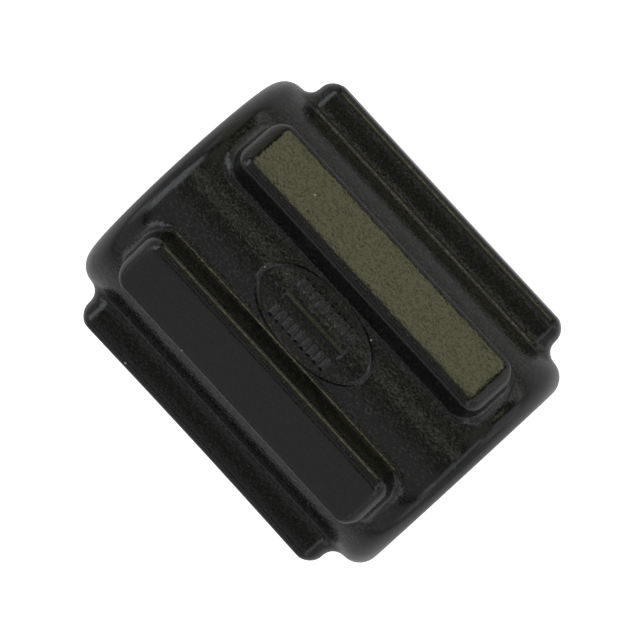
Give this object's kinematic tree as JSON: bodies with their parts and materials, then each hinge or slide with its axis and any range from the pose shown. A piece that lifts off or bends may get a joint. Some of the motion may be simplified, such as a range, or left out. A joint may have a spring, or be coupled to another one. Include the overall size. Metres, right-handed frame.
{
  "type": "threaded pipe coupling",
  "caption": "One-piece moulded pipe coupling: a short thick-walled barrel with tapered female threads in both ends and straight wrench lugs along its outside.",
  "frame": {"origin": "the middle of the bore, halfway between the two end faces", "axes": "+X along the bore towards one end face, +Z out of the side with the oval badge, between two lugs, and +Y through the middle of a lug"},
  "size_m": [0.046, 0.0386, 0.0366],
  "materials": {
    "black_polypropylene": "satin moulded black polypropylene: fine spark-eroded grain between the lugs, smoother lugs and end fillets"
  },
  "bodies": {
    "root": {"coupling_body": "black_polypropylene"}
  },
  "joints": []
}
